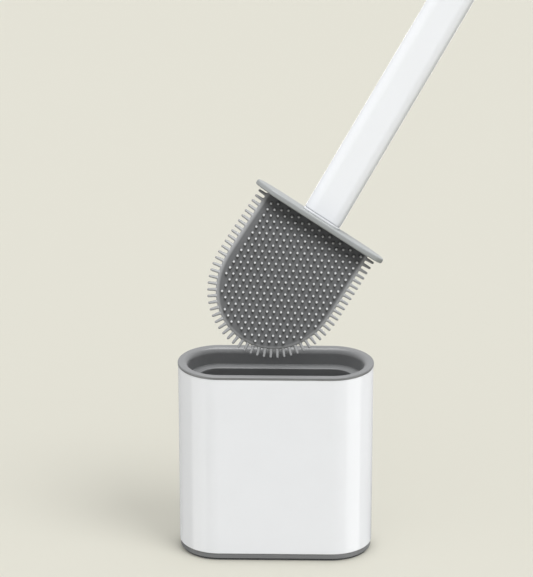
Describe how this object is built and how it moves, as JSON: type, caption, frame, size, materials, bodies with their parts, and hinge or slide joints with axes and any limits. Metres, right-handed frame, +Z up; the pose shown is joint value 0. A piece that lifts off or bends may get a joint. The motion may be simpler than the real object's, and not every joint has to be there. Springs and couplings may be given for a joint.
{
  "type": "toilet brush and holder",
  "caption": "Flat toilet brush with a flexible studded head, tilted above its slim upright holder with a lift-out liner.",
  "frame": {"origin": "middle of the underside of the non-slip pad, where the holder stands on the floor", "axes": "+X along the holder's width to the right, +Y to the back, +Z up; the holder's plain front face looks along -Y"},
  "size_m": [0.2273, 0.1206, 0.4308],
  "materials": {
    "shell_white": "gloss",
    "handle_white": "gloss",
    "liner_grey": "satin",
    "base_grey": "satin",
    "guard_grey": "satin",
    "core_grey": "satin",
    "head_rubber": "satin",
    "seal_rubber": "matte",
    "pad_rubber": "matte",
    "screw_steel": "satin"
  },
  "bodies": {
    "holder": {"outer_shell": "shell_white", "base_plate": "base_grey", "base_screws": "screw_steel", "non_slip_pad": "pad_rubber"},
    "liner": {"inner_liner": "liner_grey"},
    "brush": {"brush_head": "head_rubber", "head_core": "core_grey", "splash_guard": "guard_grey"},
    "handle": {"handle_foot": "handle_white", "handle_seal": "seal_rubber", "handle_socket": "core_grey", "handle_tube": "handle_white", "handle_cap": "handle_white"}
  },
  "joints": [
    {"name": "liner_lift", "type": "slide", "parent": "holder", "child": "liner", "axis": [0, 0, 1], "range_m": [0, 0.13]},
    {"name": "brush_swing", "type": "hinge", "parent": "liner", "child": "brush", "pos_m": [0.14345, 0.08427, 0.12204], "axis": [0.4543, -0.8874, 0.0788], "range_deg": [0, 36.6]},
    {"name": "handle_pull", "type": "slide", "parent": "brush", "child": "handle", "axis": [0.5362, 0.2571, 0.804], "range_m": [0, 0.035]}
  ]
}
